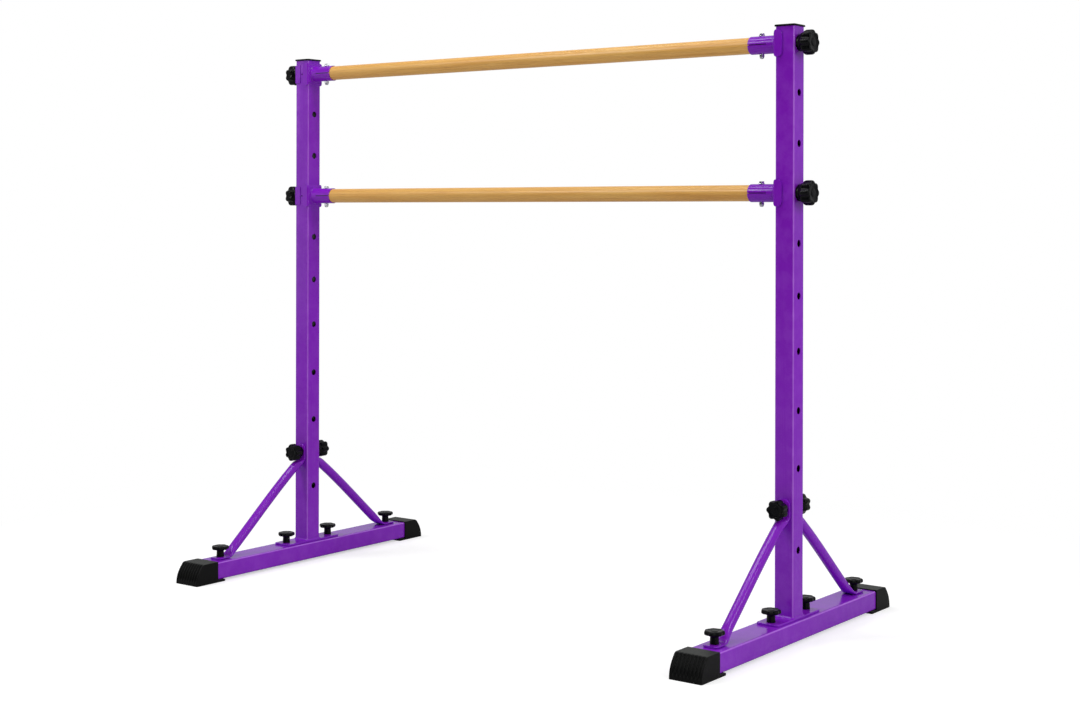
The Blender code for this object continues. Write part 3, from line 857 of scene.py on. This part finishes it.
def brace_shape(way):
    n = 56
    powers = []
    for _, _, wide, thick in BRACE_PATH:
        flat = max(0.0, min(1.0, (wide - BRACE_R) / (FLAT_WIDTH - BRACE_R)))
        powers.append(0.5 if thick <= 2.1 else 1.0 - 0.45 * flat)
    t = [0.0]
    for p, q in zip(BRACE_PATH, BRACE_PATH[1:]):
        t.append(t[-1] + math.hypot(q[0] - p[0], q[1] - p[1]))
    at = []
    for i in range(len(t) - 1):
        parts = 3 if t[i + 1] - t[i] < 6 else 7
        at += list(np.linspace(t[i], t[i + 1], parts + 1)[:-1])
    at.append(t[-1])
    columns = [
        monotone(t, [p[c] for p in BRACE_PATH], at) for c in range(4)
    ] + [monotone(t, powers, at)]
    rings = []
    last = len(at) - 1
    for i in range(len(at)):
        out, z, wide, thick, power = (float(c[i]) for c in columns)
        j, k = max(i - 1, 0), min(i + 1, last)
        dy, dz = columns[0][k] - columns[0][j], columns[1][k] - columns[1][j]
        size = math.hypot(dy, dz)
        ny, nz = -dz / size, dy / size
        ring = []
        for s in range(n):
            a = 2 * math.pi * (s + 0.5) / n
            c, q = math.cos(a), math.sin(a)
            p = wide * math.copysign(abs(c) ** power, c)
            h = thick * math.copysign(abs(q) ** power, q)
            ring.append((p, way * (out + h * ny), z + h * nz))
        rings.append(ring)
    return loft(rings)


def brace_cutters(way, foot_y):
    upper = on_y(rod(STUD_HOLE_R, 15.0, 30.0, 28), z=BRACE_TOP_Z)
    upper = moved(upper, lambda a, y, z: (a, way * y, z))
    lower = at_y(rod(STUD_HOLE_R, 40.0, 52.0, 28), foot_y)
    return joined([upper, lower])


def turned(profile, lobes, n, reach=0.8, keep=()):
    """Rings turned about Z from (radius, height, lobe depth), with softened corners."""
    fine = soften(profile, reach, 4, keep)
    return loft(
        along_z([(lobed(r, d, lobes, n) if d > 0 else circle(r, n), z) for r, z, d in fine])
    )


def small_knob():
    top = 24.2
    return turned(
        [
            (STUD_R - 0.4, -15.0, 0.0),
            (STUD_R, -14.6, 0.0),
            (STUD_R, 0.0, 0.0),
            (8.2, 0.0, 0.0),
            (8.6, 0.6, 0.0),
            (7.9, 12.6, 0.0),
            (9.0, 14.6, 0.0),
            (13.6, 15.6, 0.7),
            (17.4, 16.2, 1.6),
            (19.1, 17.4, 1.95),
            (19.4, 18.9, 2.0),
            (19.4, 21.5, 2.0),
            (18.7, 23.2, 1.9),
            (16.6, top, 1.4),
            (13.9, top, 0.6),
            (11.8, top - 0.8, 0.1),
            (7.0, top - 1.1, 0.0),
            (6.6, top - 0.5, 0.0),
            (5.6, top - 0.3, 0.0),
            (0.6, top - 0.2, 0.0),
        ],
        7,
        112,
        1.0,
        (2, 3),
    )


def star_knob():
    top = 30.0
    return turned(
        [
            (STUD_R - 0.4, -18.6, 0.0),
            (STUD_R, -18.2, 0.0),
            (STUD_R, 0.0, 0.0),
            (12.2, 0.0, 0.0),
            (12.6, 0.6, 0.0),
            (13.3, 6.6, 0.0),
            (15.4, 8.8, 1.2),
            (18.8, 10.9, 3.1),
            (20.2, 14.5, 3.6),
            (20.2, 26.2, 3.6),
            (19.3, 28.8, 3.3),
            (17.0, top, 2.5),
            (13.6, top - 0.1, 0.9),
            (11.8, top - 1.0, 0.2),
            (7.8, top - 1.2, 0.0),
            (7.4, top - 0.5, 0.0),
            (6.3, top - 0.2, 0.0),
            (0.6, top - 0.1, 0.0),
        ],
        7,
        126,
        1.2,
        (2, 3),
    )


def lock_knob(stud):
    top = 31.8
    return turned(
        [
            (LOCK_R - 0.9, -stud, 0.0),
            (LOCK_R, -stud + 1.3, 0.0),
            (LOCK_R, 0.0, 0.0),
            (15.9, 0.0, 0.0),
            (16.5, 0.7, 0.0),
            (17.4, 7.0, 0.0),
            (19.6, 9.4, 1.2),
            (22.9, 11.7, 3.2),
            (24.2, 15.6, 3.8),
            (24.2, 27.6, 3.8),
            (23.2, 30.4, 3.5),
            (20.8, top, 2.7),
            (17.0, top - 0.1, 1.1),
            (14.2, top - 1.1, 0.2),
            (9.6, top - 1.7, 0.0),
            (8.4, top - 1.75, 0.0),
            (7.9, top - 0.9, 0.0),
            (6.6, top - 0.45, 0.0),
            (0.6, top - 0.3, 0.0),
        ],
        8,
        128,
        1.4,
        (2, 3),
    )


def arc(cx, cy, start, radius, steps):
    return [
        (
            cx + radius * math.cos(start + 0.5 * math.pi * i / steps),
            cy + radius * math.sin(start + 0.5 * math.pi * i / steps),
        )
        for i in range(steps + 1)
    ]


def saddle_shape():
    lo, hi, r = FACE, FACE + SADDLE_THICK, 4.0
    outline = [(FLANGE_EDGE, -hi)]
    outline += arc(hi - r, -hi + r, -math.pi / 2, r, 8)
    outline += arc(hi - r, hi - r, 0.0, r, 8)
    outline += [(FLANGE_EDGE, hi), (FLANGE_EDGE, lo)]
    outline += [(lo - 1.5, lo), (lo, lo - 1.5), (lo, -lo + 1.5), (lo - 1.5, -lo)]
    outline += [(FLANGE_EDGE, -lo)]
    return loft(along_z([(outline, -SADDLE_HALF), (outline, SADDLE_HALF)]))


def saddle_trim():
    """What the saddle keeps: rounded flange ends, and a lower web on the inner face."""
    r, steps = 10.4, 12
    mid = FLANGE_EDGE + r
    rise = SADDLE_HALF - WEB_HALF
    upper = []
    for i in range(steps + 1):
        t = math.pi / 2 * i / steps
        upper.append((mid + 6.6 * math.cos(t), WEB_HALF + rise * math.sin(t)))
    for i in range(1, steps + 1):
        t = math.pi / 2 * (1 + i / steps)
        upper.append((mid + r * math.cos(t), SADDLE_HALF - r + r * math.sin(t)))
    outline = [(40.0, WEB_HALF)] + upper
    outline += [(a, -z) for a, z in reversed(upper)] + [(40.0, -WEB_HALF)]
    return loft([[(a, y, z) for a, z in outline] for y in (-40.0, 40.0)])


def sleeve_shape(seed):
    """The socket for the rail, with the bead that joins it to the saddle and a rounded mouth."""
    n = 96
    start = FACE + 1.4
    face = FACE + SADDLE_THICK
    profile = [
        (start, SLEEVE_IN, 0.0),
        (start, SLEEVE_OUT + 2.4, 0.0),
        (face + 0.1, SLEEVE_OUT + 2.5, 0.3),
        (face + 0.6, SLEEVE_OUT + 2.0, 1.0),
        (face + 1.3, SLEEVE_OUT + 1.2, 1.0),
        (face + 2.3, SLEEVE_OUT + 0.55, 1.0),
        (face + 3.6, SLEEVE_OUT + 0.1, 0.3),
        (face + 4.4, SLEEVE_OUT, 0.0),
        (SLEEVE_END - 0.7, SLEEVE_OUT, 0.0),
        (SLEEVE_END - 0.3, SLEEVE_OUT - 0.12, 0.0),
        (SLEEVE_END - 0.06, SLEEVE_OUT - 0.4, 0.0),
        (SLEEVE_END, SLEEVE_OUT - 0.7, 0.0),
        (SLEEVE_END, SLEEVE_IN + 0.2, 0.0),
        (SLEEVE_END - 0.2, SLEEVE_IN, 0.0),
    ]
    rings = []
    for a, r, uneven in profile:
        ring = []
        for i in range(n):
            t = 2 * math.pi * i / n
            q = r + uneven * bead(seed, t, 0.22)
            ring.append((a, q * math.cos(t), q * math.sin(t)))
        rings.append(ring)
    return loft(rings, closed=True)


def sleeve_nut():
    outline = hexagon(16.0, 24)
    return on_x(loft(along_z([(outline, FACE + 1.5), (outline, LOCK_TIP + 1.0)])))


def bracket_cutters():
    return joined(
        [
            on_x(rod(LOCK_R + 0.4, 10.0, 40.0, 32)),
            box_shape(SLIT_START, SLEEVE_END + 4, -25, -10, -SLIT_HALF, SLIT_HALF),
            box_shape(SLIT_START, SLEEVE_END + 4, 10, 25, -SLIT_HALF, SLIT_HALF),
            moved(rod(CLAMP_R + 0.4, -30.0, 30.0, 28), lambda a, y, z: (a + CLAMP_A, y, z)),
        ]
    )


def keeper_shape():
    lo, hi = FACE, FACE + KEEPER_THICK
    edge, r = 4.5, 3.2
    outline = [(-edge, -hi)]
    outline += [(-p, -q) for p, q in reversed(arc(hi - r, hi - r, 0.0, r, 6))]
    outline += [(-p, q) for p, q in arc(hi - r, hi - r, 0.0, r, 6)]
    outline += [(-edge, hi), (-edge, lo)]
    inner = r - KEEPER_THICK
    outline += [(-p, q) for p, q in reversed(arc(lo - inner, lo - inner, 0.0, inner, 6))]
    outline += [(-p, -q) for p, q in arc(lo - inner, lo - inner, 0.0, inner, 6)]
    outline += [(-edge, -lo)]
    return loft(along_z([(outline, -KEEPER_HALF), (outline, KEEPER_HALF)]))


def clamp_bolt():
    top = SLEEVE_OUT + GAP
    n = 72
    return loft(
        along_z(
            [
                (circle(CLAMP_R - 0.5, n), -24.0),
                (circle(CLAMP_R, n), -23.4),
                (circle(CLAMP_R, n), top),
                (circle(6.2, n), top),
                (circle(6.4, n), top + 0.3),
                (circle(6.2, n), top + 0.9),
                (circle(5.7, n), top + 1.3),
                (hexagon(9.6, n, 0.02), top + 1.5),
                (hexagon(9.6, n, 0.02), top + 4.2),
                (hexagon(9.4, n, 0.07), top + 4.7),
                (hexagon(8.6, n, 0.13), top + 5.1),
                (circle(3.4, n), top + 5.2),
            ]
        )
    )


def clamp_nut():
    top = -SLEEVE_OUT - GAP
    n = 72
    return loft(
        along_z(
            [
                (circle(CLAMP_R + 0.35, n), top - 6.6),
                (circle(CLAMP_R + 0.35, n), top),
                (hexagon(9.2, n, 0.08), top),
                (hexagon(9.6, n, 0.03), top - 0.5),
                (hexagon(9.6, n, 0.03), top - 4.2),
                (hexagon(9.2, n, 0.09), top - 4.8),
                (circle(4.3, n), top - 5.1),
                (circle(4.25, n), top - 6.4),
                (circle(3.85, n), top - 7.5),
                (circle(3.0, n), top - 8.3),
                (circle(1.7, n), top - 8.8),
                (circle(0.4, n), top - 8.9),
            ]
        )
    )


def rail_shape(z):
    n = 96
    rings = []
    for x, r in (
        (-RAIL_HALF, RAIL_R - 1.2),
        (-RAIL_HALF + 0.35, RAIL_R - 0.45),
        (-RAIL_HALF + 1.2, RAIL_R),
        (-RAIL_HALF * 0.5, RAIL_R),
        (0.0, RAIL_R),
        (RAIL_HALF * 0.5, RAIL_R),
        (RAIL_HALF - 1.2, RAIL_R),
        (RAIL_HALF - 0.35, RAIL_R - 0.45),
        (RAIL_HALF, RAIL_R - 1.2),
    ):
        rings.append([(x, p, q + z) for p, q in circle(r, n)])
    return loft(rings)


# ---------------------------------------------------------------- the stands


def build_stand(label, side):
    def world(a, y, z):
        return side * (STAND_X - a), y, z

    def put(name, shape, steps=(), place=None, **how):
        shape = moved(shape, place) if place else shape
        done = [
            (s[0], moved(s[1], world)) if s[0] != "BEVEL" else s for s in steps
        ]
        return piece(f"{label}_{name}", moved(shape, world), done, **how)

    put(
        "post",
        post_shape(),
        [("DIFFERENCE", post_cutters(side)), ("BEVEL", 0.45, 2, 50)],
    )
    put("post_cap", post_cap_shape())
    put(
        "foot_tube",
        foot_shape(),
        [("DIFFERENCE", foot_cutters(label)), ("BEVEL", 0.35, 2, 50)],
    )
    knob_holes = []
    for end in ("front", "rear"):
        lo, hi = span(f"{label}_base_knob_{end}")
        knob_holes.append(
            at_y(rod(STUD_HOLE_R, PLATE_BOTTOM - 5, PLATE_TOP + 5, 32), (lo[1] + hi[1]) / 2)
        )
    put(
        "base_plate",
        plate_shape(),
        [("UNION", weld_shape(side * 3.1)), ("DIFFERENCE", joined(knob_holes))],
    )

    for end, way in (("front", -1.0), ("rear", 1.0)):

        def out(a, b, z, way=way):
            return a, way * (FOOT_HALF + GAP + b), z

        put(
            f"foot_cap_{end}",
            cap_shape(),
            [("UNION", moved(cap_plug(), out))],
            out,
            smooth=50.0,
        )
        lo, hi = span(f"{label}_brace_foot_knob_{end}")
        foot_y, foot_z = (lo[1] + hi[1]) / 2, hi[2] - 24.2
        put(
            f"brace_{end}",
            brace_shape(way),
            [("DIFFERENCE", brace_cutters(way, foot_y))],
            smooth=45.0,
        )
        put(
            f"brace_foot_knob_{end}",
            small_knob(),
            (),
            lambda p, q, s, y=foot_y, z=foot_z: (p, q + y, s + z),
            smooth=60.0,
            weighted=False,
        )
        lo, hi = span(f"{label}_base_knob_{end}")
        base_y, base_z = (lo[1] + hi[1]) / 2, hi[2] - 24.2
        put(
            f"base_knob_{end}",
            small_knob(),
            (),
            lambda p, q, s, y=base_y, z=base_z: (p, q + y, s + z),
            smooth=60.0,
            weighted=False,
        )
        lo, hi = span(f"{label}_brace_post_knob_{end}")
        top_y = (hi[1] if way > 0 else lo[1]) - way * 30.0
        put(
            f"brace_post_knob_{end}",
            star_knob(),
            (),
            lambda p, q, s, y=top_y, way=way: (p, y + way * s, q + BRACE_TOP_Z),
            smooth=60.0,
            weighted=False,
        )

    for level, height in (("upper", UPPER_Z), ("lower", LOWER_Z)):

        def lift(a, y, z, height=height):
            return a, y, z + height

        seed = side * 5.0 + height * 0.01
        put(
            f"{level}_bracket",
            saddle_shape(),
            [
                ("INTERSECT", moved(saddle_trim(), lift)),
                ("BEVEL", 0.7, 3, 50),
                ("UNION", moved(sleeve_shape(seed), lift)),
                ("UNION", moved(sleeve_nut(), lift)),
                ("DIFFERENCE", moved(bracket_cutters(), lift)),
            ],
            lift,
        )
        for what, shape in (("clamp_bolt", clamp_bolt()), ("clamp_nut", clamp_nut())):
            put(
                f"{level}_{what}",
                shape,
                (),
                lambda p, q, s, z=height: (p + CLAMP_A, q, s + z),
                smooth=32.0,
            )
        lo, hi = span(f"{label}_{level}_lock_knob")
        far = hi[0] if side > 0 else -lo[0]
        seat = far - STAND_X - 31.8
        put(
            f"{level}_lock_knob",
            spun(lock_knob(seat + LOCK_TIP), math.pi / 8 if side < 0 else 0.0),
            (),
            lambda p, q, s, seat=seat, z=height: (-seat - s, p, q + z),
            smooth=60.0,
            weighted=False,
        )
        if side < 0:
            hole = on_x(rod(LOCK_R + 0.4, -40.0, 0.0, 32), z=height)
            put(
                f"{level}_keeper_plate",
                keeper_shape(),
                [("DIFFERENCE", hole), ("BEVEL", 0.3, 2, 50)],
                lift,
            )


build_stand("left", -1.0)
build_stand("right", 1.0)

for level, height in (("upper", UPPER_Z), ("lower", LOWER_Z)):
    holes = [
        moved(
            rod(CLAMP_R + 0.4, height - 30, height + 30, 28),
            lambda x, y, z, at=at: (x + at, y, z),
        )
        for at in (-(STAND_X - CLAMP_A), STAND_X - CLAMP_A)
    ]
    piece(f"{level}_rail", rail_shape(height), [("DIFFERENCE", joined(holes))])

# what stays as CAD made it: the nuts and sleeves inside the tubes
for name, node in NODES.items():
    if not node.hide_render:
        for holder in node.material_slots:
            holder.link = "OBJECT"
            holder.material = MATERIAL[SLOT[name]]


# ---------------------------------------------------------------- floor, light and camera


def make_floor():
    mesh = bpy.data.meshes.new("floor")
    size = 14.0
    mesh.from_pydata(
        [(-size, -size, 0), (size, -size, 0), (size, size, 0), (-size, size, 0)],
        [],
        [(0, 1, 2, 3)],
    )
    floor = bpy.data.objects.new("floor", mesh)
    bpy.context.scene.collection.objects.link(floor)
    made = bpy.data.materials.new("floor")
    made.use_nodes = True
    n = Nodes(made.node_tree)
    path = n.add("ShaderNodeLightPath")
    paper = n.add("ShaderNodeBsdfDiffuse")
    paper.inputs["Color"].default_value = (0.62, 0.62, 0.62, 1.0)
    glow = n.add("ShaderNodeEmission")
    glow.inputs["Color"].default_value = (1.0, 1.0, 1.0, 1.0)
    n.link(
        n.math("MULTIPLY", path.outputs["Is Camera Ray"], 0.56), glow.inputs["Strength"]
    )
    both = n.add("ShaderNodeAddShader")
    n.link(paper.outputs["BSDF"], both.inputs[0])
    n.link(glow.outputs["Emission"], both.inputs[1])
    away = n.add("ShaderNodeVectorMath", operation="LENGTH")
    n.link(n.place(), away.inputs[0])
    fade = n.range(away.outputs["Value"], 0.85, 1.6, 0.0, 1.0)
    white = n.add("ShaderNodeEmission")
    white.inputs["Color"].default_value = (1.0, 1.0, 1.0, 1.0)
    blend = n.add("ShaderNodeMixShader")
    n.link(n.math("MULTIPLY", fade, path.outputs["Is Camera Ray"]), blend.inputs["Fac"])
    n.link(both.outputs["Shader"], blend.inputs[1])
    n.link(white.outputs["Emission"], blend.inputs[2])
    out = n.add("ShaderNodeOutputMaterial")
    n.link(blend.outputs["Shader"], out.inputs["Surface"])
    mesh.materials.append(made)


def make_world():
    """White to the eye; as light, a dim studio with broad soft glows from some sides."""
    world = bpy.data.worlds.new("studio")
    world.use_nodes = True
    bpy.context.scene.world = world
    n = Nodes(world.node_tree)
    source = n.add("ShaderNodeTexCoord")
    level = BASE_GLOW
    for towards, power, strength in GLOWS:
        dot = n.add("ShaderNodeVectorMath", operation="DOT_PRODUCT")
        n.link(source.outputs["Generated"], dot.inputs[0])
        dot.inputs[1].default_value = Vector(towards).normalized()
        lobe = n.math("POWER", n.math("MAXIMUM", dot.outputs["Value"], 0.0), power)
        level = n.math("ADD", level, n.math("MULTIPLY", lobe, strength))
    path = n.add("ShaderNodeLightPath")
    seen = path.outputs["Is Camera Ray"]
    level = n.math("ADD", n.math("MULTIPLY", n.math("SUBTRACT", 1.0, seen), level), seen)
    ground = n.add("ShaderNodeBackground")
    ground.inputs["Color"].default_value = (1.0, 1.0, 1.0, 1.0)
    n.link(level, ground.inputs["Strength"])
    out = n.add("ShaderNodeOutputWorld")
    n.link(ground.outputs["Background"], out.inputs["Surface"])


def softbox(name, at, aim, width, height, watts, color=(1.0, 1.0, 1.0)):
    data = bpy.data.lights.new(name, "AREA")
    data.shape = "RECTANGLE"
    data.size, data.size_y = width, height
    data.energy = watts
    data.color = color
    lamp = bpy.data.objects.new(name, data)
    lamp.location = at
    lamp.rotation_euler = (Vector(aim) - Vector(at)).to_track_quat("-Z", "Y").to_euler()
    bpy.context.scene.collection.objects.link(lamp)
    return lamp


BASE_GLOW = 0.0
GLOWS = (
    ((-0.5, 0.85, 0.15), 2.0, 0.573),
    ((0.9, 0.45, 0.1), 2.0, 0.484),
    ((0.0, 0.0, 1.0), 2.0, 0.45),
)
BOXES = (
    ("overhead", (0.0, -0.4, 3.0), (0.0, -0.4, 0.0), 2.6, 0.5, 24.0),
    ("edge_strip", (3.3, -1.7, 1.1), (0.6, 0.0, 0.8), 0.4, 1.8, 13.0),
    ("key_left", (-2.4, -3.2, 3.6), (0.0, 0.0, 0.5), 1.4, 1.4, 64.7),
    ("side_right", (3.6, -0.2, 2.2), (0.4, 0.0, 0.6), 1.0, 1.4, 32.0),
    ("left_strip", (-2.9, -2.1, 1.3), (-0.6, 0.0, 0.8), 1.5, 2.0, 8.8),
)
make_floor()
make_world()
for box in BOXES:
    softbox(*box)

scene = bpy.context.scene
scene.view_settings.view_transform = "Standard"
scene.view_settings.look = "None"
scene.view_settings.exposure = 0.0
scene.view_settings.gamma = 1.0

FOCAL_PX, CENTRE_V, ROLL, YAW = 1711.614, 213.741, -0.0021929, 0.6428374
camera = bpy.data.cameras.new("camera")
camera.sensor_width = 36.0
camera.lens = FOCAL_PX / 1080.0 * 36.0
camera.shift_y = (CENTRE_V - 360.0) / 1080.0
camera.clip_end = 60.0
eye = bpy.data.objects.new("camera", camera)
turn = Euler((math.pi / 2, 0.0, YAW)).to_matrix() @ Matrix.Rotation(-ROLL, 3, "Z")
eye.matrix_world = Matrix.Translation((2.2368, -2.9270, 0.8199)) @ turn.to_4x4()
scene.collection.objects.link(eye)
scene.camera = eye
